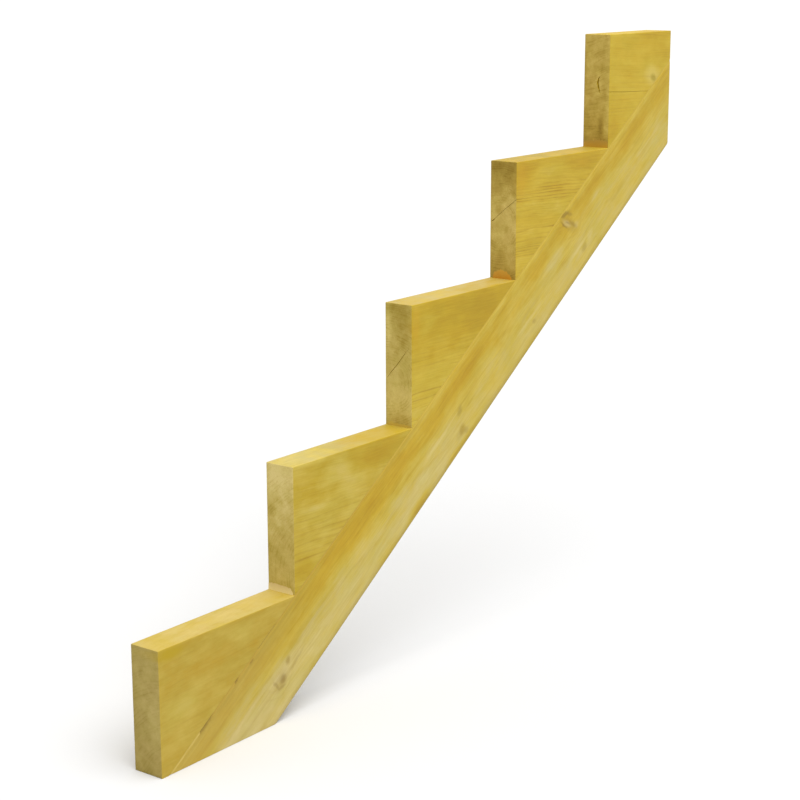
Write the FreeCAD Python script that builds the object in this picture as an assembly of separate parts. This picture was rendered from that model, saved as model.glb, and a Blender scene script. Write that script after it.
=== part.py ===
import FreeCAD, Part
import math
import os

# Stringer for a short outdoor stair. A carriage board runs up the slope, and triangular step
# blocks, with their grain level, are glued end to end along its top edge.
# X runs from the first riser to the back, Y across the thickness, and Z up. The origin is the
# middle of the board's level foot, on the floor.

# Driving dimensions, in millimetres
step_count = 5             # step blocks on the board
rise = 170.0               # from one tread seat up to the next
first_rise = 162.0         # from the floor up to the first tread seat
going = 250.0              # from one riser face back to the next
top_going = 185.0          # last tread seat, from its riser face to the plumb cut
timber_thickness = 45.0    # planed thickness of the board and the blocks
board_width = 113.0        # planed width of the board, square to the slope
board_arris = 5.0          # rounding of the board's long edges
tread_arris = 1.0          # easing of the long edges of the tread seats

# Places that follow from them
slope = math.atan2(rise, going)
foot_length = board_width / math.sin(slope)
seam_start = -foot_length / 2
front = seam_start - (rise - first_rise) / math.tan(slope)
back = front + (step_count - 1) * going + top_going


def riser_x(step):
    """Where the riser face of a step stands, the first being step 1."""
    return front + (step - 1) * going


def tread_z(step):
    """Height of a tread seat. The level foot cut shortens the first rise only."""
    return first_rise + (step - 1) * rise


def planed_timber(low, high, length, arris):
    """Timber along +X, from low to high in Z, with its long edges rounded by the planer."""
    corner = FreeCAD.Vector(0, -timber_thickness / 2, low)
    timber = Part.makeBox(length, timber_thickness, high - low, corner)
    long_edges = [edge for edge in timber.Edges if edge.BoundBox.XLength > length / 2]
    return timber.makeFillet(arris, long_edges)


def saw_cuts(points):
    """A side view, given as (x, z) points, carried square across more than the thickness."""
    corners = [FreeCAD.Vector(x, -timber_thickness, z) for x, z in points]
    side_view = Part.Face(Part.makePolygon(corners + corners[:1]))
    return side_view.extrude(FreeCAD.Vector(0, 2 * timber_thickness, 0))


def outer_cuts():
    """What the level foot cut, the plumb back cut and the last tread seat leave."""
    top = tread_z(step_count)
    return saw_cuts([(front, 0), (back, 0), (back, top), (front, top)])


def carriage_board():
    """Planed board laid up the slope, with its top edge on the seam through the step corners."""
    overrun = board_width
    length = (back - seam_start) / math.cos(slope) + 2 * overrun
    board = planed_timber(-board_width, 0, length, board_arris)
    board.translate(FreeCAD.Vector(-overrun, 0, 0))
    board.rotate(FreeCAD.Vector(0, 0, 0), FreeCAD.Vector(0, -1, 0), math.degrees(slope))
    board.translate(FreeCAD.Vector(seam_start, 0, 0))
    return board.common(outer_cuts())


def step_block(step):
    """Planed timber laid level, cut square for the riser face and sloping for the glue face."""
    riser = riser_x(step)
    tread = tread_z(step)
    heel = tread - rise
    toe = riser + going
    block = planed_timber(heel - tread_arris, tread, going, tread_arris)
    block.translate(FreeCAD.Vector(riser, 0, 0))
    block = block.common(saw_cuts([(riser, heel), (riser, tread), (toe, tread)]))
    return block.common(outer_cuts())


os.makedirs("parts", exist_ok=True)
carriage_board().exportStep("parts/carriage_board.step")
for step in range(1, step_count + 1):
    step_block(step).exportStep(f"parts/step_block_{step}.step")
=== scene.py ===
import math

import bmesh
import bpy
from mathutils import Matrix, Vector, noise


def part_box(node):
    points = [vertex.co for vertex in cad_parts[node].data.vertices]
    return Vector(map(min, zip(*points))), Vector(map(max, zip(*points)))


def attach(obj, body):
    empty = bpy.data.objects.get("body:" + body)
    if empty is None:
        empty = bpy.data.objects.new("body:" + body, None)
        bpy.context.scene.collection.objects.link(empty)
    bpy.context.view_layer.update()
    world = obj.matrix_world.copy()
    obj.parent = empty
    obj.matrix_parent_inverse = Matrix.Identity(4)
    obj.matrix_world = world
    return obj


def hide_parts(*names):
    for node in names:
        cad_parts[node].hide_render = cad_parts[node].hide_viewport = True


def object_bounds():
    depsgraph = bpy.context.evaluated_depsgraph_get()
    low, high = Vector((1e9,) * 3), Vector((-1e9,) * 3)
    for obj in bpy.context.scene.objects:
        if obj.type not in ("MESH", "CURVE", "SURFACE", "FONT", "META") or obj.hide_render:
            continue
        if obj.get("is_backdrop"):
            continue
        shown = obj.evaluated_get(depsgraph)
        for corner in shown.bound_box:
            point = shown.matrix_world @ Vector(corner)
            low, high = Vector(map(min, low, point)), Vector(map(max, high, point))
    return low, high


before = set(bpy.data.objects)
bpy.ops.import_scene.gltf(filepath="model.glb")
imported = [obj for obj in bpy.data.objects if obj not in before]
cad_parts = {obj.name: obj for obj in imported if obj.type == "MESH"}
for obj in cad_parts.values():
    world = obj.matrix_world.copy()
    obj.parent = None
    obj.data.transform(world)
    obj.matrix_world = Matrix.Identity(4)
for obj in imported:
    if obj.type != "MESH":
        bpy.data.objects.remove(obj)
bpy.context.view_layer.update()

# Carriage board
# One length of pressure-treated pine, planed on all four sides with rounded arrises, then sawn level
# at the foot and plumb at the back. It carries the step blocks on its top edge.
MM = 0.001
board_low, board_high = (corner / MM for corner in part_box("carriage_board"))
first_low, first_high = (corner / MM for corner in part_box("step_block_1"))
second_low, second_high = (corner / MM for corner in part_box("step_block_2"))
going = second_low.x - first_low.x
rise = second_high.z - first_high.z
slope = math.atan2(rise, going)
half_thickness = board_high.y
board_width = -2 * board_low.x * math.sin(slope)   # the level foot is centred on the origin
board_arris = 5.0
sawn_ease = 0.9                                    # sanding of the sawn edges
cell = 4.0                                         # spacing of the points on a planed face
planer_wave = 0.12                                 # how far the planer left a face out of true
wave_length = 70.0                                 # of the planer's waves, along the grain
wave_width = 30.0                                  # of the planer's waves, across the grain
endless = 10000.0                                  # size of a pattern that doesn't change along an axis


def planed_side(height, top_arris, bottom_arris):
    """Levels down a planed side, each as (height, how far the side stands in from its face there)."""
    turns = [math.radians(angle) for angle in range(0, 91, 15)]
    flat = height - top_arris - bottom_arris
    steps = max(2, round(flat / cell))
    levels = [(-top_arris * (1 - math.cos(a)), top_arris * (1 - math.sin(a))) for a in turns]
    levels += [(-top_arris - flat * n / steps, 0.0) for n in range(1, steps + 1)]
    if bottom_arris:
        levels += [(-height + bottom_arris * (1 - math.cos(a)), bottom_arris * (1 - math.sin(a)))
                   for a in reversed(turns[:-1])]
    return levels


def timber(levels, start, end, seed):
    """Skin of a planed timber with its grain along x and its top edge at z 0, sawn at start(z) and
    end(z). Its sides carry the faint waves that a planer leaves, and its sawn edges are eased."""
    height = -levels[-1][0]
    inner = max(2, round((end(-height / 2) - start(-height / 2)) / cell))
    # A station is a share of the length, a share of the easing that is taken off, and a shift in easings
    stations = [(0.0, 1.0, 0.0), (0.0, 0.3, 0.3), (0.0, 0.0, 1.0)]
    stations += [(n / inner, 0.0, 0.0) for n in range(1, inner)]
    stations += [(1.0, 0.0, -1.0), (1.0, 0.3, -0.3), (1.0, 1.0, 0.0)]
    columns = round(2 * half_thickness / cell)
    last = (len(stations) - 1, len(levels) - 1, columns)
    skin = bmesh.new()
    made = {}

    def vertex(k, j, i):
        if (k, j, i) not in made:
            along, ease, shift = stations[k]
            z, stand_in = levels[j]
            y = (half_thickness - stand_in) * (2 * i / columns - 1)
            y *= 1 - ease * sawn_ease / half_thickness
            z = -height / 2 + (z + height / 2) * (1 - ease * sawn_ease / (height / 2))
            x = start(z) + (end(z) - start(z)) * along + shift * sawn_ease
            wave = noise.noise(Vector((x / wave_length, y / wave_width + seed, z / wave_width)))
            if i in (0, columns):
                y += planer_wave * (wave - 1) * (1 if i else -1)
            made[k, j, i] = skin.verts.new(Vector((x, y, z)) * MM)
        return made[k, j, i]

    for axis in range(3):
        across, down = [n for n in range(3) if n != axis]
        for side in (0, last[axis]):
            for a in range(last[across]):
                for b in range(last[down]):
                    quad = []
                    for da, db in ((0, 0), (1, 0), (1, 1), (0, 1)):
                        index = [side] * 3
                        index[across] = a + da
                        index[down] = b + db
                        quad.append(vertex(*index))
                    skin.faces.new(quad)
    bmesh.ops.recalc_face_normals(skin, faces=skin.faces)
    return skin


def smooth_faces(mesh):
    """Shades a mesh smooth apart from its edges."""
    edge_angle = math.radians(32)
    mesh.polygons.foreach_set("use_smooth", [True] * len(mesh.polygons))
    mesh.set_sharp_from_angle(angle=edge_angle)


def finish_piece(name, skin):
    """Turns a skin into an object that moves with the stringer."""
    mesh = bpy.data.meshes.new(name)
    skin.to_mesh(mesh)
    skin.free()
    smooth_faces(mesh)
    piece = bpy.data.objects.new(name, mesh)
    bpy.context.scene.collection.objects.link(piece)
    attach(piece, "root")
    return piece


def linear(code):
    """An sRGB hex colour as linear RGBA."""
    parts = [int(code[n:n + 2], 16) / 255 for n in (1, 3, 5)]
    return tuple(v / 12.92 if v <= 0.04045 else ((v + 0.055) / 1.055) ** 2.4 for v in parts) + (1.0,)


def add_node(tree, kind, inputs, stops=None, **settings):
    """Adds a node: settings go on the node, stops on its ramp, and each input gets a value or a link.
    Inputs go by name or number: on a map range 0 is the value, 1 and 2 are the range it comes from and 3
    and 4 the range it goes to, and on a mix 0 is the share and 6 and 7 are the colours."""
    made = tree.nodes.new(kind)
    for setting, value in settings.items():
        setattr(made, setting, value)
    if stops:
        ramp = made.color_ramp
        while len(ramp.elements) < len(stops):
            ramp.elements.new(1.0)
        for element, (position, value) in zip(ramp.elements, stops):
            element.position = position
            element.color = linear(value) if isinstance(value, str) else (value, value, value, 1.0)
    for socket, value in inputs.items():
        if isinstance(value, bpy.types.NodeSocket):
            tree.links.new(value, made.inputs[socket])
        else:
            made.inputs[socket].default_value = value
    return made


def knot_reach(tree, at, x, z, along, across, turn):
    """Distance from the heart of a knot as a share of its radius. A knot is a branch that ran outwards
    through the timber, and x, z, its two radii and its turn are those on the near side."""
    branch = Vector((-0.25, -1.0, 0.0)).normalized()
    long_axis = Vector((math.cos(math.radians(turn)), 0.0, math.sin(math.radians(turn))))
    side = branch.cross(long_axis).normalized()
    axes = Matrix((branch, side.cross(branch), side)).transposed()
    knot = add_node(tree, "ShaderNodeMapping", {
        "Vector": at, "Location": (x, -half_thickness, z), "Rotation": axes.to_euler(),
        "Scale": (endless, along, across)}, vector_type="TEXTURE").outputs[0]
    return add_node(tree, "ShaderNodeVectorMath", {0: knot}, operation="LENGTH").outputs[1]


def soft_patches(tree, at, tone, patches):
    """Adds soft round patches to a tone, each as (x, y, z, reach in x, y and z, strength)."""
    for x, y, z, reach_x, reach_y, reach_z, strength in patches:
        patch = add_node(tree, "ShaderNodeMapping", {
            "Vector": at, "Location": (x, y, z), "Scale": (reach_x, reach_y, reach_z)},
            vector_type="TEXTURE").outputs[0]
        patch = add_node(tree, "ShaderNodeTexGradient", {"Vector": patch}, gradient_type="SPHERICAL")
        patch = add_node(tree, "ShaderNodeMapRange", {0: patch.outputs["Fac"]},
                         interpolation_type="SMOOTHSTEP").outputs[0]
        tone = add_node(tree, "ShaderNodeMath", {0: patch, 1: strength, 2: tone},
                        operation="MULTIPLY_ADD").outputs[0]
    return tone


def treated_pine(name, place, seed, depth, colours, profile, end_colours, end_profile, pith, ring_width,
                 ring_depth, line_profile=((0.0, 1.0), (-1.0, 1.0)), end_rings=0.3, lean=0.0, swing=1.0,
                 streaks=0.4, threads=0.4, painted_sheen=None, patches=(), end_patches=(), knots=(), stains_and_painted_shade=()):
    """Pressure-treated pine, planed along the grain and sawn across it. The preservative leaves the planed
    faces yellow-green to ochre in clouds and streaks, with faint late wood lines and soft knots, and the
    sawn ends duller and rougher. Sizes are mm in the timber's own axes: x along the grain, y through the
    thickness, z up to the top edge. A profile gives the tone, or for the late wood lines their share, at
    heights from the top down to the depth. The lean is the grain's angle to the edge in degrees, and
    ring_depth, end_rings, swing, streaks and threads say how strongly each pattern shows. The painted sheen
    is a colour and its share on faces that look up, a painted reflection of the bright surroundings on the
    treads. A mark of a knot, of resin or of painted shade is placed as a knot is, with a strength and a
    colour. A patch of the end grain gives y, z and its reach in them, on the end where x is 0."""
    material = bpy.data.materials.new(name)
    material.use_nodes = True
    tree = material.node_tree
    shader = tree.nodes["Principled BSDF"]
    spot = add_node(tree, "ShaderNodeTexCoord", {}).outputs
    at = add_node(tree, "ShaderNodeMapping", {
        "Vector": spot["Object"], "Location": place.translation, "Rotation": place.to_euler(),
        "Scale": (MM, MM, MM)}, vector_type="TEXTURE").outputs[0]
    facing = add_node(tree, "ShaderNodeVectorMath", {0: spot["Normal"], 1: place.to_3x3().col[0]},
                      operation="DOT_PRODUCT").outputs[1]
    facing = add_node(tree, "ShaderNodeMath", {0: facing}, operation="ABSOLUTE").outputs[0]
    sawn = add_node(tree, "ShaderNodeMapRange", {0: facing, 1: 0.25, 2: 0.5}).outputs[0]

    # The stem was never quite straight, so the grain drifts some millimetres over a hand's length
    drift_length = 170.0
    drift_width = 45.0
    drift_reach = 14.0
    drift = add_node(tree, "ShaderNodeMapping", {
        "Vector": at, "Scale": (1 / drift_length, 1 / drift_width, 1 / drift_width)}).outputs[0]
    drift = add_node(tree, "ShaderNodeTexNoise", {
        "Vector": drift, "W": seed, "Scale": 1.0, "Detail": 2.0}, noise_dimensions="4D").outputs["Color"]
    drift = add_node(tree, "ShaderNodeVectorMath", {0: drift, 1: (0.5, 0.5, 0.5)},
                     operation="SUBTRACT").outputs[0]
    bent = add_node(tree, "ShaderNodeVectorMath", {0: drift, 1: (0.0, drift_reach, drift_reach), 2: at},
                    operation="MULTIPLY_ADD").outputs[0]
    grain = add_node(tree, "ShaderNodeMapping", {
        "Vector": bent, "Rotation": (0.0, math.radians(lean), 0.0)}).outputs[0]

    # Clouds and streaks of preservative and the fibres, each with its length and width in mm. Fibres are
    # too fine to show at this distance, so they are drawn over a millimetre thick.
    grit_size = 11.0
    pattern = {}
    for kind, along, across in (("cloud", 75.0, 20.0), ("mottle", 26.0, 17.0), ("streak", 230.0, 4.5),
                                ("fibre", 55.0, 1.7), ("tint", 60.0, 30.0)):
        sized = add_node(tree, "ShaderNodeMapping", {
            "Vector": grain, "Scale": (1 / along, 1 / across, 1 / across)}).outputs[0]
        pattern[kind] = add_node(tree, "ShaderNodeTexNoise", {
            "Vector": sized, "W": seed, "Scale": 1.0, "Detail": 4.0, "Roughness": 0.6},
            noise_dimensions="4D").outputs["Fac"]
    grit = add_node(tree, "ShaderNodeTexNoise", {
        "Vector": at, "W": seed, "Scale": 1 / grit_size, "Detail": 5.0, "Roughness": 0.65},
        noise_dimensions="4D").outputs

    # Growth rings about the pith, bent outwards round the ragged edges of the knots. The first few years
    # left hardly a mark.
    ragged_reach = 7.0
    ragged = add_node(tree, "ShaderNodeVectorMath", {0: grit["Color"], 1: (0.5, 0.5, 0.5)},
                      operation="SUBTRACT").outputs[0]
    ragged = add_node(tree, "ShaderNodeVectorMath", {0: ragged, 1: (ragged_reach,) * 3, 2: at},
                      operation="MULTIPLY_ADD").outputs[0]
    stem = add_node(tree, "ShaderNodeMapping", {
        "Vector": grain, "Location": (0.0, *pith), "Scale": (endless, ring_width, ring_width)},
        vector_type="TEXTURE").outputs[0]
    rings = add_node(tree, "ShaderNodeVectorMath", {0: stem}, operation="LENGTH").outputs[1]
    for knot in knots:
        bend = add_node(tree, "ShaderNodeMapRange", {
            0: knot_reach(tree, ragged, *knot), 1: 0.7, 2: 3.0, 3: 1.2, 4: 0.0},
            interpolation_type="SMOOTHERSTEP").outputs[0]
        rings = add_node(tree, "ShaderNodeMath", {0: rings, 1: bend}, operation="ADD").outputs[0]
    young = add_node(tree, "ShaderNodeMapRange", {0: rings, 1: 3.0, 2: 9.0, 3: 0.08, 4: 1.0}).outputs[0]
    years = add_node(tree, "ShaderNodeTexNoise", {"W": rings, "Scale": 0.3, "Detail": 1.0},
                     noise_dimensions="1D").outputs["Fac"]
    rings = add_node(tree, "ShaderNodeMath", {0: years, 1: 3.0, 2: rings},
                     operation="MULTIPLY_ADD").outputs[0]
    season = add_node(tree, "ShaderNodeMath", {0: rings}, operation="FRACT").outputs[0]
    late = add_node(tree, "ShaderNodeValToRGB", {"Fac": season}, stops=[
        (0.0, 0.15), (0.12, 0.0), (0.55, 0.0), (0.78, 0.3), (0.92, 1.0), (1.0, 0.2)]).outputs[0]
    late = add_node(tree, "ShaderNodeMath", {0: late, 1: young}, operation="MULTIPLY").outputs[0]
    shown = add_node(tree, "ShaderNodeMapRange", {0: pattern["mottle"], 1: 0.42, 2: 0.6}).outputs[0]
    arcs = add_node(tree, "ShaderNodeMath", {0: late, 1: shown}, operation="MULTIPLY").outputs[0]

    # Tone of the planed faces, from bleached at 0 to deep ochre at 1
    weights = {"cloud": 0.8 * swing, "mottle": 0.6 * swing, "streak": streaks * swing}
    middle = sum(weights.values()) / 2
    level = add_node(tree, "ShaderNodeSeparateXYZ", {"Vector": bent}).outputs["Z"]
    level = add_node(tree, "ShaderNodeMapRange", {0: level, 1: 0.0, 2: -depth}).outputs[0]
    tone = add_node(tree, "ShaderNodeValToRGB", {"Fac": level}, stops=[
        (-z / depth, value) for z, value in profile]).outputs[0]
    lined = add_node(tree, "ShaderNodeValToRGB", {"Fac": level}, stops=[
        (-z / depth, value) for z, value in line_profile]).outputs[0]
    tone = add_node(tree, "ShaderNodeMath", {0: tone, 1: middle}, operation="SUBTRACT").outputs[0]
    for kind, weight in weights.items():
        tone = add_node(tree, "ShaderNodeMath", {0: pattern[kind], 1: weight, 2: tone},
                        operation="MULTIPLY_ADD").outputs[0]
    tone = soft_patches(tree, bent, tone, patches)
    planed = add_node(tree, "ShaderNodeValToRGB", {"Fac": tone}, stops=[
        (n / (len(colours) - 1), code) for n, code in enumerate(colours)]).outputs[0]
    # Painted reflection: faces that look up are mixed, in patches that follow the mottle, towards a colour
    # that stands in for the sheen of the bright surroundings on the treads
    if painted_sheen:
        tint, share = painted_sheen
        upward = add_node(tree, "ShaderNodeSeparateXYZ", {"Vector": spot["Normal"]}).outputs["Z"]
        upward = add_node(tree, "ShaderNodeMapRange", {0: upward, 1: 0.5, 2: 0.95, 4: share}).outputs[0]
        sheen_mottle = add_node(tree, "ShaderNodeMapRange", {
            0: pattern["mottle"], 1: 0.36, 2: 0.6, 3: 0.2, 4: 1.6}).outputs[0]
        upward = add_node(tree, "ShaderNodeMath", {0: upward, 1: sheen_mottle}, operation="MULTIPLY").outputs[0]
        planed = add_node(tree, "ShaderNodeMix", {0: upward, 6: planed, 7: linear(tint)},
                          data_type="RGBA").outputs[2]

    # Tone of the sawn end grain, from pale at 0 to dark at 1, where the rings show as faint arcs
    level = add_node(tree, "ShaderNodeSeparateXYZ", {"Vector": at}).outputs["Z"]
    level = add_node(tree, "ShaderNodeMapRange", {0: level, 1: 0.0, 2: -depth}).outputs[0]
    tone = add_node(tree, "ShaderNodeValToRGB", {"Fac": level}, stops=[
        (-z / depth, value) for z, value in end_profile]).outputs[0]
    tone = add_node(tree, "ShaderNodeMath", {0: tone, 1: 0.75}, operation="SUBTRACT").outputs[0]
    for kind, weight in ((pattern["mottle"], 0.7), (grit["Fac"], 0.8), (arcs, end_rings)):
        tone = add_node(tree, "ShaderNodeMath", {0: kind, 1: weight, 2: tone},
                        operation="MULTIPLY_ADD").outputs[0]
    end_reach = 60.0
    tone = soft_patches(tree, at, tone, [
        (0.0, y, z, end_reach, reach_y, reach_z, strength)
        for y, z, reach_y, reach_z, strength in end_patches])
    end_grain = add_node(tree, "ShaderNodeValToRGB", {"Fac": tone}, stops=[
        (n / (len(end_colours) - 1), code) for n, code in enumerate(end_colours)]).outputs[0]
    colour = add_node(tree, "ShaderNodeMix", {0: sawn, 6: planed, 7: end_grain},
                      data_type="RGBA").outputs[2]

    # Late wood, fibres and a green tint darken the planed faces a little, in places more than in others
    planing = add_node(tree, "ShaderNodeMapRange", {0: sawn, 3: ring_depth, 4: 0.0}).outputs[0]
    fading = add_node(tree, "ShaderNodeMapRange", {
        0: pattern["cloud"], 1: 0.38, 2: 0.62, 3: 0.12, 4: 1.0}).outputs[0]
    lines = late
    for share in (planing, fading, lined):
        lines = add_node(tree, "ShaderNodeMath", {0: lines, 1: share}, operation="MULTIPLY").outputs[0]
    thread = add_node(tree, "ShaderNodeMapRange", {
        0: pattern["fibre"], 1: 0.4, 2: 0.75, 4: threads}).outputs[0]
    green = add_node(tree, "ShaderNodeMapRange", {0: pattern["tint"], 1: 0.4, 2: 0.65, 4: 0.5}).outputs[0]
    for share, tint in ((lines, "#c8ae6a"), (thread, "#d8c690"), (green, "#eef2cc")):
        colour = add_node(tree, "ShaderNodeMix", {0: share, 6: colour, 7: linear(tint)},
                          data_type="RGBA", blend_type="MULTIPLY").outputs[2]

    # Knots, resin and bruises, and on the board painted shade along the seam and the bottom edge: soft spots
    # with ragged edges
    for *place_of_stain_and_shade, strength, tint in stains_and_painted_shade:
        stain_and_shade = add_node(tree, "ShaderNodeMapRange", {
            0: knot_reach(tree, ragged, *place_of_stain_and_shade), 1: 0.3, 2: 1.35, 3: strength, 4: 0.0},
            interpolation_type="SMOOTHSTEP").outputs[0]
        colour = add_node(tree, "ShaderNodeMix", {0: stain_and_shade, 6: colour, 7: linear(tint)},
                          data_type="RGBA").outputs[2]

    # Planed wood keeps a faint sheen between its fibres, and sawn wood has none
    tree.links.new(colour, shader.inputs["Base Color"])
    rough = add_node(tree, "ShaderNodeMapRange", {0: sawn, 3: 0.52, 4: 0.8}).outputs[0]
    rough = add_node(tree, "ShaderNodeMath", {0: pattern["fibre"], 1: 0.15, 2: rough},
                     operation="MULTIPLY_ADD").outputs[0]
    tree.links.new(rough, shader.inputs["Roughness"])
    shader.inputs["IOR"].default_value = 1.45
    shader.inputs["Specular IOR Level"].default_value = 0.5
    relief = add_node(tree, "ShaderNodeMath", {0: late, 1: 0.5, 2: pattern["fibre"]},
                      operation="MULTIPLY_ADD").outputs[0]
    bump = add_node(tree, "ShaderNodeBump", {"Height": relief, "Strength": 0.3, "Distance": 0.25 * MM})
    tree.links.new(bump.outputs[0], shader.inputs["Normal"])
    return material


def foot_cut(z):
    """How far along the board the level foot cut lies, at a height in the board's own axes."""
    return -z / math.tan(slope)


def plumb_cut(z):
    """How far along the board the plumb back cut lies, at a height in the board's own axes."""
    return (board_high.x - board_low.x + z * math.sin(slope)) / math.cos(slope)


board_place = Matrix.Translation(Vector((board_low.x, 0.0, 0.0)) * MM) @ Matrix.Rotation(-slope, 4, "Y")
skin = timber(planed_side(board_width, board_arris, board_arris), foot_cut, plumb_cut, seed=0.0)
skin.transform(board_place)
board = finish_piece("carriage_board_planed", skin)
near = -half_thickness

# Patches on the near side, ochre where the strength is above 0 and bleached where it is below
board_patches = [
    (110.0, near, -78.0, 420.0, 60.0, 72.0, -0.26), (440.0, near, -18.0, 170.0, 45.0, 32.0, 0.18),
    (725.0, near, -24.0, 110.0, 45.0, 18.0, 0.18), (1268.0, near, -25.0, 80.0, 45.0, 12.0, 0.18),
    (560.0, near, -86.0, 190.0, 45.0, 36.0, -0.15), (250.0, near, -48.0, 90.0, 45.0, 16.0, 0.12),
    (290.0, near, -52.0, 110.0, 45.0, 6.0, 0.15), (890.0, near, -26.0, 80.0, 45.0, 20.0, -0.18),
    (130.0, near, -36.0, 120.0, 45.0, 14.0, -0.25), (390.0, near, -85.0, 90.0, 45.0, 44.0, -0.16),
    (985.0, near, -41.0, 62.0, 45.0, 20.0, -0.3), (1125.0, near, -18.0, 75.0, 45.0, 10.0, 0.2),
    (1125.0, near, -38.0, 75.0, 45.0, 10.0, -0.25), (1210.0, near, -22.0, 90.0, 45.0, 18.0, -0.1),
    (540.0, near, -103.0, 46.0, 45.0, 11.0, 0.3), (660.0, near, -106.0, 80.0, 45.0, 9.0, 0.25),
]
# Stains and painted shade, from the broad ones to the small: dull bands, painted shade along the seam and
# the bottom edge, pale streaks, the knot near the foot, small knots further up, the knot with a dark arch at
# the seam, and painted shadow in the seam where the glue falls short
# The thin bands just under the seam and the long band along the bottom edge are painted shade, in the groove
# under the blocks and on the lower arris, which faces down
dull_bands_and_painted_shade = [
    (90.0, -14.0, 190.0, 26.0, 0.0, 0.42, "#b0964c"), (230.0, -3.5, 340.0, 6.5, 0.0, 0.38, "#9a7c20"),
    (560.0, -4.0, 80.0, 6.5, 0.0, 0.22, "#9a7c20"), (255.0, -32.0, 110.0, 42.0, 0.0, 0.13, "#94801e"),
    (90.0, -72.0, 130.0, 46.0, 0.0, 0.12, "#a08c5c"), (700.0, -110.0, 720.0, 8.0, 0.0, 0.34, "#8a7018"),
    (290.0, -52.0, 75.0, 5.0, 0.0, 0.14, "#94803a"),
]
pale_streaks = [
    (620.0, -61.0, 45.0, 3.5, 2.0, 0.3, "#e4d290"), (1045.0, -75.0, 28.0, 3.5, 0.0, 0.3, "#e4d290"),
    (890.0, -74.0, 42.0, 3.0, 0.0, 0.25, "#e4d290"), (120.0, -56.0, 70.0, 3.0, 2.0, 0.25, "#e2d098"),
    (70.0, -90.0, 50.0, 3.5, -2.0, 0.2, "#e2d098"),
]
foot_knot = [
    (203.0, -71.0, 18.0, 12.0, 10.0, 0.24, "#8a6c24"), (207.0, -73.0, 7.5, 6.5, 25.0, 0.5, "#7a5c1a"),
    (193.0, -69.0, 9.0, 2.6, 95.0, 0.36, "#84661e"), (200.0, -80.0, 8.0, 2.4, -25.0, 0.34, "#84661e"),
    (238.0, -73.0, 22.0, 3.0, 7.0, 0.28, "#8a6c24"), (228.5, -59.6, 6.5, 5.2, 35.0, 0.64, "#9c8234"),
]
small_knots = [
    (685.0, -61.0, 9.0, 5.5, 30.0, 0.5, "#9c8430"), (674.6, -88.4, 9.5, 8.0, 30.0, 0.6, "#9c7e14"),
    (664.0, -90.0, 8.0, 7.0, 0.0, 0.2, "#8f7630"), (681.0, -96.0, 6.0, 5.0, 0.0, 0.3, "#86680e"),
    (896.5, -84.5, 5.5, 4.0, -30.0, 0.26, "#8a6c24"),
]
arched_knot = [
    (1048.0, -26.0, 26.0, 10.0, -62.0, 0.3, "#8a6c24"), (1043.0, -21.0, 13.0, 4.8, -62.0, 0.42, "#d6c488"),
    (1046.0, -6.0, 15.0, 4.0, -18.0, 0.5, "#684a04"), (1057.0, -14.7, 9.0, 3.2, -47.0, 0.36, "#7c5e1a"),
    (1036.0, -18.0, 12.0, 2.0, -66.0, 0.45, "#755818"), (1046.0, -23.0, 8.0, 1.6, -58.0, 0.42, "#7c5e1a"),
    (1056.0, -33.0, 13.0, 3.6, -60.0, 0.36, "#7c5e1a"), (1061.8, -83.8, 8.0, 6.5, 30.0, 0.56, "#a48c2c"),
    (1085.0, -78.0, 10.0, 7.0, 20.0, 0.2, "#dccf9e"), (1064.0, -40.0, 7.0, 6.0, 0.0, 0.16, "#dccf9e"),
]
# Painted shadow: dark dashes in the seam where the glue line falls short and the groove under the block lies
# open
painted_gap_shadows = [
    (181.5, -2.5, 5.0, 4.0, 0.0, 0.5, "#7c5e1a"), (77.0, -1.8, 17.0, 3.4, 0.0, 0.5, "#6c5200"),
    (148.0, -1.8, 6.0, 3.2, 0.0, 0.5, "#6e5208"),
]
board.data.materials.append(treated_pine(
    "treated pine, carriage board", board_place, seed=0.0, depth=board_width,
    colours=["#d8c686", "#cfbb6c", "#cfb648", "#c8a722", "#c09a0c"],
    profile=[(0.0, 0.58), (-9.0, 0.62), (-14.0, 0.74), (-30.0, 0.78), (-46.0, 0.57), (-60.0, 0.44),
             (-113.0, 0.4)],
    pith=(120.0, -95.0), ring_width=4.2, ring_depth=0.22, swing=0.8,
    patches=board_patches, knots=[(204.0, -72.0, 13.0, 10.0, 20.0), (1045.0, -20.0, 23.0, 10.0, -62.0)],
    stains_and_painted_shade=dull_bands_and_painted_shade + pale_streaks + foot_knot + small_knots + arched_knot + painted_gap_shadows,
    end_colours=["#d2be76", "#ab9450", "#8d7636"], end_profile=[(0.0, 0.4), (-113.0, 0.5)]))
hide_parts("carriage_board")

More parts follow.
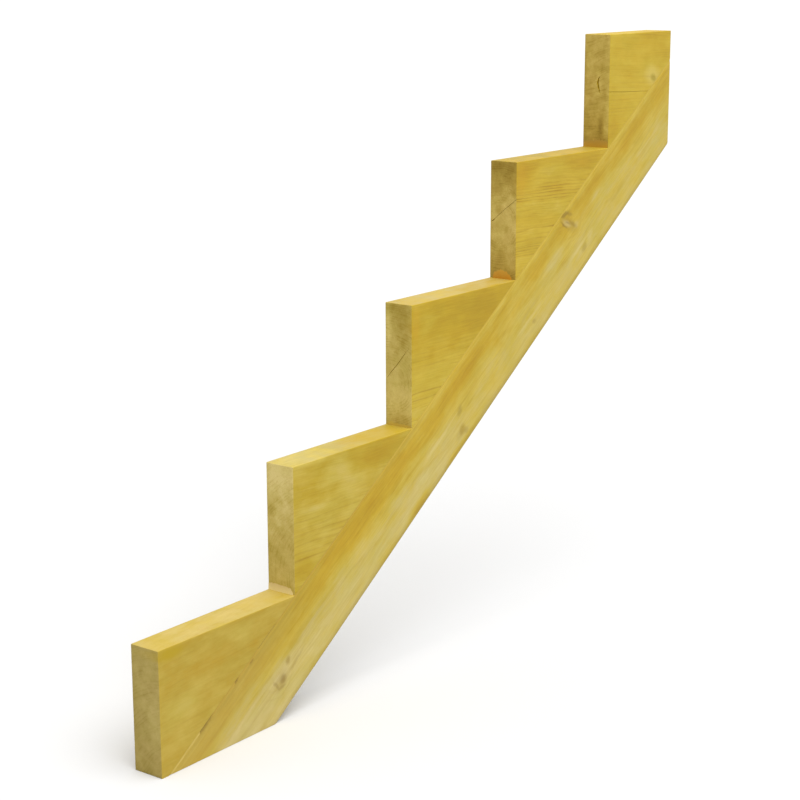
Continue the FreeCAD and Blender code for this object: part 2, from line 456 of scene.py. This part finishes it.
# Step blocks
# Five triangular blocks of the same pine with their grain level, so that each riser shows sawn end grain
# and each tread seat a planed face. They are glued end to end along the board's top edge. Drying has
# opened checks in the end grain of the upper three, and one along the near side of the last.
tread_arris = 1.0
block_looks = [
    # Block 1 is dull and evenly mottled, with a yellow corner at the top of the riser
    dict(colours=["#cdb660", "#c6ad4a", "#bb9e34", "#b8920e"],
         profile=[(0.0, 0.58), (-60.0, 0.58), (-120.0, 0.54), (-162.0, 0.62)],
         pith=(-75.0, -210.0), ring_width=5.0, ring_depth=0.14, lean=4.0,
         swing=1.2, streaks=0.1, threads=0.14, painted_sheen=("#cab46a", 0.4),
         patches=[(22.0, near, -3.0, 30.0, 20.0, 15.0, 0.12), (95.0, near, -36.0, 60.0, 40.0, 32.0, 0.2),
                  (36.0, near, -88.0, 55.0, 40.0, 34.0, -0.3), (90.0, -12.0, 0.0, 11.0, 7.0, 6.0, 1.4)],
         stains_and_painted_shade=[(20.0, -8.0, 24.0, 10.0, 0.0, 0.8, "#b69a06")],
         end_colours=["#cdb976", "#b7a25c", "#a08a42"],
         end_profile=[(0.0, 0.6), (-80.0, 0.6), (-160.0, 0.8)],
         end_patches=[(-14.0, -95.0, 18.0, 45.0, -0.25), (26.0, -60.0, 12.0, 130.0, 0.25)]),
    # Block 2 is cloudy above and lined below, and a pale band slants across its riser
    dict(colours=["#d2bc66", "#cbb348", "#bfa222", "#b8960a"],
         profile=[(0.0, 0.53), (-80.0, 0.44), (-170.0, 0.5)],
         line_profile=[(0.0, 0.1), (-55.0, 0.15), (-68.0, 0.8), (-90.0, 0.6), (-100.0, 1.0), (-125.0, 1.0),
                       (-170.0, 0.5)],
         pith=(-75.0, -140.0), ring_width=4.8, ring_depth=0.5, lean=-1.5,
         streaks=0.2, threads=0.36, painted_sheen=("#bcae70", 0.36),
         patches=[(92.0, near, -20.0, 42.0, 40.0, 26.0, -0.34),
                  (118.0, near, -48.0, 44.0, 40.0, 26.0, -0.34),
                  (178.0, near, -22.0, 90.0, 40.0, 34.0, 0.42), (36.0, near, -32.0, 60.0, 40.0, 38.0, 0.22),
                  (36.0, near, -62.0, 46.0, 40.0, 8.0, -0.3), (12.0, near, -146.0, 44.0, 40.0, 36.0, 0.3),
                  (190.0, 0.0, 0.0, 110.0, 40.0, 8.0, 0.75), (30.0, 0.0, 0.0, 90.0, 40.0, 8.0, -0.28)],
         stains_and_painted_shade=[(195.0, 0.0, 75.0, 2.4, 0.0, 0.55, "#bc9e0c")],
         end_colours=["#e0cc84", "#c7b05e", "#aa9236"],
         end_profile=[(0.0, 0.2), (-20.0, 0.2), (-110.0, 0.6)],
         end_patches=[(4.0, -18.0, 26.0, 40.0, -0.25), (26.0, -140.0, 12.0, 70.0, 0.25),
                      (17.0, -90.0, 10.0, 16.0, -0.2), (4.0, -71.0, 10.0, 16.0, -0.24),
                      (-9.0, -57.0, 10.0, 16.0, -0.2), (17.0, -62.0, 12.0, 16.0, 0.2),
                      (16.0, -116.0, 10.0, 18.0, 0.15)]),
    # Block 3 is ochre above and paler below, with clear rings on its riser
    dict(colours=["#d4be58", "#cdb236", "#c2a214", "#ba9808"],
         profile=[(0.0, 0.65), (-50.0, 0.66), (-110.0, 0.34), (-170.0, 0.36)],
         line_profile=[(0.0, 0.1), (-60.0, 0.15), (-85.0, 0.6), (-100.0, 0.3), (-112.0, 1.0), (-145.0, 1.0),
                       (-170.0, 0.6)],
         pith=(16.0, -110.0), ring_width=4.2, ring_depth=0.6, end_rings=0.38,
         streaks=0.2, threads=0.4, painted_sheen=("#c2b074", 0.42),
         patches=[(165.0, near, -30.0, 130.0, 40.0, 40.0, 0.4), (40.0, near, -30.0, 30.0, 40.0, 24.0, -0.1),
                  (85.0, near, -124.0, 44.0, 40.0, 14.0, -0.2), (205.0, 0.0, 0.0, 100.0, 40.0, 8.0, 0.45)],
         stains_and_painted_shade=[(205.0, 0.0, 75.0, 2.4, 0.0, 0.26, "#be9f20"),
                 (9.0, -28.0, 10.0, 27.0, 0.0, 0.34, "#cc9e10")],
         end_colours=["#e2cc7c", "#c4ae5a", "#a68c30"],
         end_profile=[(0.0, 0.72), (-20.0, 0.7), (-140.0, 0.28)],
         # The last patch darkens the foot of the riser: glue soaked into the end grain, and painted shade in
         # the corner where it meets the tread below
         end_patches=[(18.0, -30.0, 10.0, 50.0, -0.5), (-6.0, -28.0, 16.0, 46.0, 0.14),
                      (-4.0, -172.0, 60.0, 34.0, 0.4)]),
    # Block 4 shows the most late wood lines
    dict(colours=["#d6be54", "#ceb130", "#c6a418", "#c09808"],
         profile=[(0.0, 0.58), (-60.0, 0.42), (-170.0, 0.4)],
         line_profile=[(0.0, 0.1), (-36.0, 0.1), (-46.0, 1.0), (-66.0, 1.0), (-80.0, 0.4), (-95.0, 0.9),
                       (-125.0, 1.0), (-170.0, 0.5)],
         pith=(8.0, -89.0), ring_width=3.8, ring_depth=0.85, end_rings=0.28, lean=-2.0,
         streaks=0.2, threads=0.5, painted_sheen=("#aa9638", 0.46),
         patches=[(18.0, near, -20.0, 40.0, 45.0, 38.0, 0.4), (95.0, near, -20.0, 56.0, 40.0, 24.0, -0.3),
                  (185.0, near, -14.0, 66.0, 40.0, 26.0, 0.3), (205.0, 6.0, 0.0, 110.0, 32.0, 8.0, 0.4),
                  (70.0, 0.0, 0.0, 110.0, 40.0, 8.0, 0.2)],
         stains_and_painted_shade=[(205.0, 0.0, 75.0, 2.4, 0.0, 0.26, "#c2a21c"),
                 (12.0, -28.0, 12.0, 30.0, 0.0, 0.3, "#cc9c10")],
         end_colours=["#e0c874", "#ba9f48", "#93761c"],
         end_profile=[(0.0, 0.83), (-22.0, 0.66), (-60.0, 0.3), (-100.0, 0.3), (-150.0, 0.5)],
         # This patch darkens the foot of the riser: glue soaked into the end grain, and painted shade in the
         # corner where it meets the tread below
         end_patches=[(-2.0, -172.0, 60.0, 34.0, 0.16)]),
    # Block 5 has a small knot in a pale ring
    dict(colours=["#d6be54", "#cfb332", "#c7a61a", "#be980a"],
         profile=[(0.0, 0.53), (-90.0, 0.47), (-170.0, 0.49)],
         pith=(60.0, 160.0), ring_width=4.6, ring_depth=0.28, end_rings=0.24, lean=-2.5,
         streaks=0.2, threads=0.2,
         patches=[(145.0, near, -10.0, 66.0, 45.0, 26.0, 0.25),
                  (10.0, near, -142.0, 36.0, 45.0, 40.0, 0.35)],
         stains_and_painted_shade=[(130.0, -67.0, 25.0, 16.0, -10.0, 0.34, "#e0d07a"),
                 (133.0, -71.0, 9.5, 6.0, -15.0, 0.66, "#9c860c")],
         end_colours=["#dcc268", "#b69940", "#8d7018"],
         end_profile=[(0.0, 0.3), (-80.0, 0.38), (-170.0, 0.52)],
         # The last patch darkens the foot of the riser: glue soaked into the end grain, and painted shade in
         # the corner where it meets the tread below
         end_patches=[(-8.5, -139.0, 8.0, 26.0, 0.42), (26.0, -62.0, 12.0, 60.0, 0.25),
                      (-20.0, -115.0, 9.0, 80.0, -0.2), (-4.0, -76.0, 16.0, 30.0, -0.2),
                      (0.0, -172.0, 60.0, 30.0, 0.25)]),
]
# Each check as the way it runs in and the points along it: x, y, z, width and depth in the block's own axes
checks = {
    3: [((1, 0, 0), [(0, 20.0, -105.0, 0.3, 2), (0, 12.0, -95.0, 0.7, 2.5), (0, 3.0, -85.0, 0.9, 3),
                     (0, -6.0, -74.0, 0.7, 3), (0, -12.0, -66.5, 0.4, 2), (0, -18.0, -58.5, 0.2, 2)])],
    4: [((1, 0, 0), [(0, 20.5, -88.0, 0.5, 2), (0, 17.0, -85.5, 1.5, 3), (0, 13.5, -82.5, 0.6, 2),
                     (0, 8.0, -77.5, 0.5, 2), (0, -4.0, -67.5, 0.5, 2.5), (0, -14.0, -60.0, 0.5, 10),
                     (0, -24.0, -52.0, 0.5, 24)])],
    5: [((1, 0, 0), [(0, -5.2, -62.5, 0.4, 3), (0, -3.2, -67.0, 2.0, 6), (0, -1.9, -72.5, 3.2, 7),
                     (0, -3.0, -78.5, 2.8, 7), (0, -4.8, -84.0, 1.6, 5), (0, -6.8, -89.5, 0.4, 3)]),
        ((0, 1, 0), [(-1, near, -85.5, 0.6, 2), (35, near, -87.4, 0.7, 2), (75, near, -89.0, 0.6, 2),
                     (118, near, -90.5, 0.3, 2)])],
}


def open_check(piece, place, into, lips):
    """Opens a drying check in a block: a thin wedge with ragged lips that closes at its depth."""
    into = Vector(into)
    proud = 1.5          # how far the wedge starts outside the face
    finer = 6            # stretches between two given points
    waver = 0.5          # how far the lips stray
    waver_length = 3.0
    wedge = bmesh.new()
    rows = []
    fine = []
    for a, b in zip(lips, lips[1:]):
        fine += [[p + (q - p) * n / finer for p, q in zip(a, b)] for n in range(finer)]
    fine.append(lips[-1])
    for n, (x, y, z, width, depth) in enumerate(fine):
        before, after = fine[max(n - 1, 0)], fine[min(n + 1, len(fine) - 1)]
        run = Vector(after[:3]) - Vector(before[:3])
        across = run.cross(into).normalized()
        point = Vector((x, y, z))
        point += across * waver * noise.noise(point / waver_length)
        half = across * width / 2 * (depth + proud) / depth
        rows.append([wedge.verts.new((point - into * proud + half) * MM),
                     wedge.verts.new((point - into * proud - half) * MM),
                     wedge.verts.new((point + into * depth) * MM)])
    for row, following in zip(rows, rows[1:]):
        for n in range(3):
            wedge.faces.new((row[n], row[n - 1], following[n - 1], following[n]))
    wedge.faces.new(rows[0])
    wedge.faces.new(rows[-1])
    bmesh.ops.recalc_face_normals(wedge, faces=wedge.faces)
    wedge.transform(place)
    mesh = bpy.data.meshes.new("check")
    wedge.to_mesh(mesh)
    wedge.free()
    cutter = bpy.data.objects.new("check", mesh)
    bpy.context.scene.collection.objects.link(cutter)
    opening = piece.modifiers.new("check", "BOOLEAN")
    opening.object = cutter
    opening.solver = "EXACT"
    opened = piece.evaluated_get(bpy.context.evaluated_depsgraph_get())
    piece.data = bpy.data.meshes.new_from_object(opened)
    piece.modifiers.clear()
    bpy.data.objects.remove(cutter)
    smooth_faces(piece.data)


for number, look in enumerate(block_looks, 1):
    node = f"step_block_{number}"
    low, high = (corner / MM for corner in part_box(node))
    length = high.x - low.x
    levels = planed_side(high.z - low.z, tread_arris, 0.0)
    skin = timber(levels, start=lambda z: 0.0, end=lambda z: length, seed=7.0 * number)
    # The slope is sawn last, and the sawn face lies on the board
    cut = bmesh.ops.bisect_plane(skin, geom=skin.verts[:] + skin.edges[:] + skin.faces[:], clear_inner=True,
                                 plane_co=Vector((0.0, 0.0, -rise)) * MM,
                                 plane_no=Vector((-math.sin(slope), 0.0, math.cos(slope))))
    rim = [item for item in cut["geom_cut"] if isinstance(item, bmesh.types.BMEdge)]
    filled = bmesh.ops.holes_fill(skin, edges=rim, sides=0)
    bmesh.ops.triangulate(skin, faces=filled["faces"])
    place = Matrix.Translation(Vector((low.x, 0.0, high.z)) * MM)
    skin.transform(place)
    block = finish_piece(f"{node}_planed", skin)
    for into, lips in checks.get(number, ()):
        open_check(block, place, into, lips)
    block.data.materials.append(treated_pine(
        f"treated pine, step block {number}", place, seed=9.0 * number, depth=rise, **look))
    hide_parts(node)

# Glue squeezed out
# Polyurethane glue foamed out of every joint and was scraped off once it had cured. What is left fills
# the groove under the blocks along the board's rounded arrises, and lies as thin smears at the foot of the
# risers.


def cured_glue(name, axis, start, end, stops, spread):
    """Polyurethane glue, cured and scraped: almost matt, amber where it is thick and wood-coloured where
    it is thin. The stops give its colours from the start to the end along an axis of the stringer, and the
    spread is how far they flow into each other. Its bubbles are drawn over a millimetre wide, coarser than
    life, so that they show."""
    flow_size = 9.0
    bubble_size = 1.3
    material = bpy.data.materials.new(name)
    material.use_nodes = True
    tree = material.node_tree
    shader = tree.nodes["Principled BSDF"]
    spot = add_node(tree, "ShaderNodeTexCoord", {}).outputs["Object"]
    at = add_node(tree, "ShaderNodeMapping", {"Vector": spot, "Scale": (1 / MM,) * 3}).outputs[0]
    flow = add_node(tree, "ShaderNodeTexNoise", {
        "Vector": at, "Scale": 1 / flow_size, "Detail": 4.0}).outputs["Fac"]
    place = add_node(tree, "ShaderNodeSeparateXYZ", {"Vector": at}).outputs[axis]
    place = add_node(tree, "ShaderNodeMapRange", {
        0: place, 1: start, 2: end, 3: -spread / 2, 4: 1 - spread / 2}).outputs[0]
    place = add_node(tree, "ShaderNodeMath", {0: flow, 1: spread, 2: place},
                     operation="MULTIPLY_ADD").outputs[0]
    colour = add_node(tree, "ShaderNodeValToRGB", {"Fac": place}, stops=stops).outputs[0]
    tree.links.new(colour, shader.inputs["Base Color"])
    bubbles = add_node(tree, "ShaderNodeTexVoronoi", {
        "Vector": at, "Scale": 1 / bubble_size}).outputs["Distance"]
    bump = add_node(tree, "ShaderNodeBump", {"Height": bubbles, "Strength": 0.3, "Distance": 0.2 * MM})
    tree.links.new(bump.outputs[0], shader.inputs["Normal"])
    shader.inputs["Roughness"].default_value = 0.7
    shader.inputs["IOR"].default_value = 1.5
    shader.inputs["Specular IOR Level"].default_value = 0.3
    return material


def glue_skin(rows):
    """Closed skin round a run of sections, each a list of points in mm."""
    skin = bmesh.new()
    rings = [[skin.verts.new(Vector(point) * MM) for point in row] for row in rows]
    for ring, following in zip(rings, rings[1:]):
        for n in range(len(ring)):
            skin.faces.new((ring[n], ring[n - 1], following[n - 1], following[n]))
    skin.faces.new(rings[0])
    skin.faces.new(rings[-1])
    bmesh.ops.recalc_face_normals(skin, faces=skin.faces)
    return skin


# Along the groove the glue hangs from the block's lower edge to the arris, and here and there it fell
# short. Its colour follows the wood: pale at the foot, dull beside the first blocks and golden further up.
short_of = {"near": [(62, 92), (142, 152), (196, 240)], "far": [(388, 400), (930, 940)]}
line_colours = [(0.0, "#cfb65e"), (0.045, "#cfb65e"), (0.065, "#bb9c40"), (0.3, "#c0a03c"),
                (0.42, "#cdb044"), (1.0, "#cdb044")]
ripple_length = 14.0
gap_taper = 6.0      # over which the glue thins out into a gap
end_gap = 0.8        # between the glue and the sawn ends
hidden_back = [(3.4, -0.5), (3.6, 0.1)]    # of the glue in the groove, under the block
for side, gaps in short_of.items():
    outward = -1 if side == "near" else 1
    length = plumb_cut(0.0)
    stations = round(length / cell)
    rows = []
    for n in range(stations + 1):
        along = n / stations
        x = along * length
        ripple = noise.noise(Vector((x / ripple_length, outward * 3.0, 0.0)))
        shares = [min(x - start, end - x, gap_taper) / gap_taper for start, end in gaps]
        fallen = max([0.0] + shares)
        # The lip stands in from the block's side, and the turn takes the toe down the rounded arris
        lip = 0.3 + 0.12 * ripple + 3.0 * fallen
        turn = math.radians(66 + 12 * ripple - 44 * fallen)
        toe = (board_arris * (1 - math.sin(turn)) + 0.1, -board_arris * (1 - math.cos(turn)) - 0.05)
        belly = ((lip + toe[0]) / 2 + 0.2, toe[1] / 2)
        row = []
        for inset, z in [(lip, 0.1), belly, toe] + hidden_back:
            start = foot_cut(z) + end_gap
            end = plumb_cut(z) - end_gap
            row.append((start + (end - start) * along, outward * (half_thickness - inset), z))
        rows.append(row)
    skin = glue_skin(rows)
    skin.transform(board_place)
    line = finish_piece(f"glue_line_{side}", skin)
    line.data.materials.append(cured_glue(
        f"cured polyurethane glue, {side} line", "X", board_low.x, board_high.x, line_colours, spread=0.02))

# Each smear as its outline from the far side to the near side, in (y, height), its thickness and colours
smears = {
    2: dict(outline=[(22.0, 9.0), (12.0, 10.0), (0.0, 9.5), (-10.0, 9.0), (-15.5, 7.5), (-19.0, 3.0)],
            thickness=0.8, low="#dfcb88", high="#cbb274"),
    3: dict(outline=[(20.0, 2.5), (12.0, 6.0), (6.0, 3.5), (-10.0, 3.5), (-20.0, 2.5)],
            thickness=0.7, low="#b79733", high="#bea544"),
    4: dict(outline=[(17.0, 4.0), (14.0, 10.0), (8.0, 12.0), (0.0, 13.5), (-6.0, 11.5), (-11.0, 7.5),
                     (-15.5, 3.0)],
            thickness=1.2, low="#b97d08", high="#c49836"),
    5: dict(outline=[(21.5, 8.0), (10.0, 10.0), (0.0, 12.0), (-10.0, 12.0), (-21.5, 11.0)],
            thickness=0.8, low="#b88a1c", high="#aa8836"),
}
bury = 0.6           # how far a smear reaches into the wood
strip = 0.8          # spacing of its sections
full_height = 5.0    # where it is lower than this it is thinner too
lump_length = 2.6    # of the lumps in its upper edge
hollow = 2.2         # its face would be straight at 2, and more makes it hollow
turns = 8            # points down its face
for number, smear in smears.items():
    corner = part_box(f"step_block_{number}")[0] / MM
    rows = []
    for (y_from, from_height), (y_to, to_height) in zip(smear["outline"], smear["outline"][1:]):
        steps = round((y_from - y_to) / strip)
        for n in range(steps + (y_to == smear["outline"][-1][0])):
            share = n / steps
            y = y_from + (y_to - y_from) * share
            height = from_height + (to_height - from_height) * (3 - 2 * share) * share ** 2
            height *= 1 + 0.32 * noise.noise(Vector((y / lump_length, number * 5.0, 0.0)))
            out = smear["thickness"] * min(1.0, height / full_height)
            row = [(corner.x + bury, y, corner.z - bury), (corner.x + bury, y, corner.z + height)]
            for turn in range(1, turns):
                angle = math.pi / 2 * turn / turns
                row.append((corner.x - out * math.sin(angle) ** hollow, y,
                            corner.z + height * math.cos(angle) ** hollow))
            row.append((corner.x - out, y, corner.z - bury))
            rows.append(row)
    tallest = max(height for y, height in smear["outline"])
    lump = finish_piece(f"glue_smear_{number}", glue_skin(rows))
    lump.data.materials.append(cured_glue(
        f"cured polyurethane glue, smear {number}", "Z", corner.z, corner.z + tallest,
        [(0.0, smear["low"]), (1.0, smear["high"])], spread=0.6))

# Studio floor and light
# Matt white paper for a floor, which keeps the stringer's shadow, and a plain white background. One large
# soft lamp stands high on the camera's side, and the background lights the rest.
bpy.ops.mesh.primitive_circle_add(vertices=96, radius=60.0, fill_type="NGON")
floor = bpy.context.object
floor.name = "studio_floor"
floor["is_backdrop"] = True
paper = bpy.data.materials.new("matt white paper, studio floor")
paper.use_nodes = True
world = bpy.data.worlds.new("studio light")
world.use_nodes = True
bpy.context.scene.world = world
for tree in (paper.node_tree, world.node_tree):
    seen = add_node(tree, "ShaderNodeLightPath", {}).outputs
    shown = add_node(tree, "ShaderNodeMath", {0: seen["Is Camera Ray"], 1: seen["Is Glossy Ray"]},
                     operation="MAXIMUM").outputs[0]
    shown = add_node(tree, "ShaderNodeMath", {0: shown, 1: seen["Is Transmission Ray"]},
                     operation="MAXIMUM").outputs[0]
    if tree is paper.node_tree:
        tint = add_node(tree, "ShaderNodeMix", {0: shown, 6: linear("#b4b4b2"), 7: linear("#dedede")},
                        data_type="RGBA").outputs[2]
        shader = tree.nodes["Principled BSDF"]
        tree.links.new(tint, shader.inputs["Base Color"])
        shader.inputs["Roughness"].default_value = 1.0
        shader.inputs["Specular IOR Level"].default_value = 0.0
    else:
        glow = add_node(tree, "ShaderNodeMapRange", {0: shown, 3: 0.75, 4: 1.0}).outputs[0]
        tree.links.new(glow, tree.nodes["Background"].inputs["Strength"])
        tree.nodes["Background"].inputs["Color"].default_value = (1.0, 1.0, 1.0, 1.0)
floor.data.materials.append(paper)

lamp = bpy.data.lights.new("softbox", "SUN")
lamp.angle = math.radians(60)
lamp.energy = 2.4
softbox = bpy.data.objects.new("softbox", lamp)
softbox.rotation_euler = Vector((0.10, 0.30, -0.70)).to_track_quat("-Z", "Y").to_euler()
bpy.context.scene.collection.objects.link(softbox)

# Camera at the photograph's viewing angle
# It stands in front of the first riser, to the near side and a little above the top step, and looks
# slightly down, along the stringer. Its lens, place and turn were fitted to corners of the timbers.
photo_size = 800
focal_pixels = 1893.77
camera_place = Vector((-1.61458, -1.52195, 0.96265))
yaw = 0.9216      # from +Y towards +X
pitch = 0.2319    # down
roll = 0.0027
ahead = Vector((math.sin(yaw) * math.cos(pitch), math.cos(yaw) * math.cos(pitch), -math.sin(pitch)))
level_right = Vector((math.cos(yaw), -math.sin(yaw), 0.0))
level_down = ahead.cross(level_right)
right = level_right * math.cos(roll) + level_down * math.sin(roll)
down = level_down * math.cos(roll) - level_right * math.sin(roll)
lens = bpy.data.cameras.new("camera")
lens.sensor_width = 36.0
lens.lens = focal_pixels * lens.sensor_width / photo_size
camera = bpy.data.objects.new("camera", lens)
turned = Matrix((right, -down, -ahead)).transposed().to_4x4()
camera.matrix_world = Matrix.Translation(camera_place) @ turned
bpy.context.scene.collection.objects.link(camera)
bpy.context.scene.camera = camera
bpy.context.scene.view_settings.view_transform = "Standard"

low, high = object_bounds()
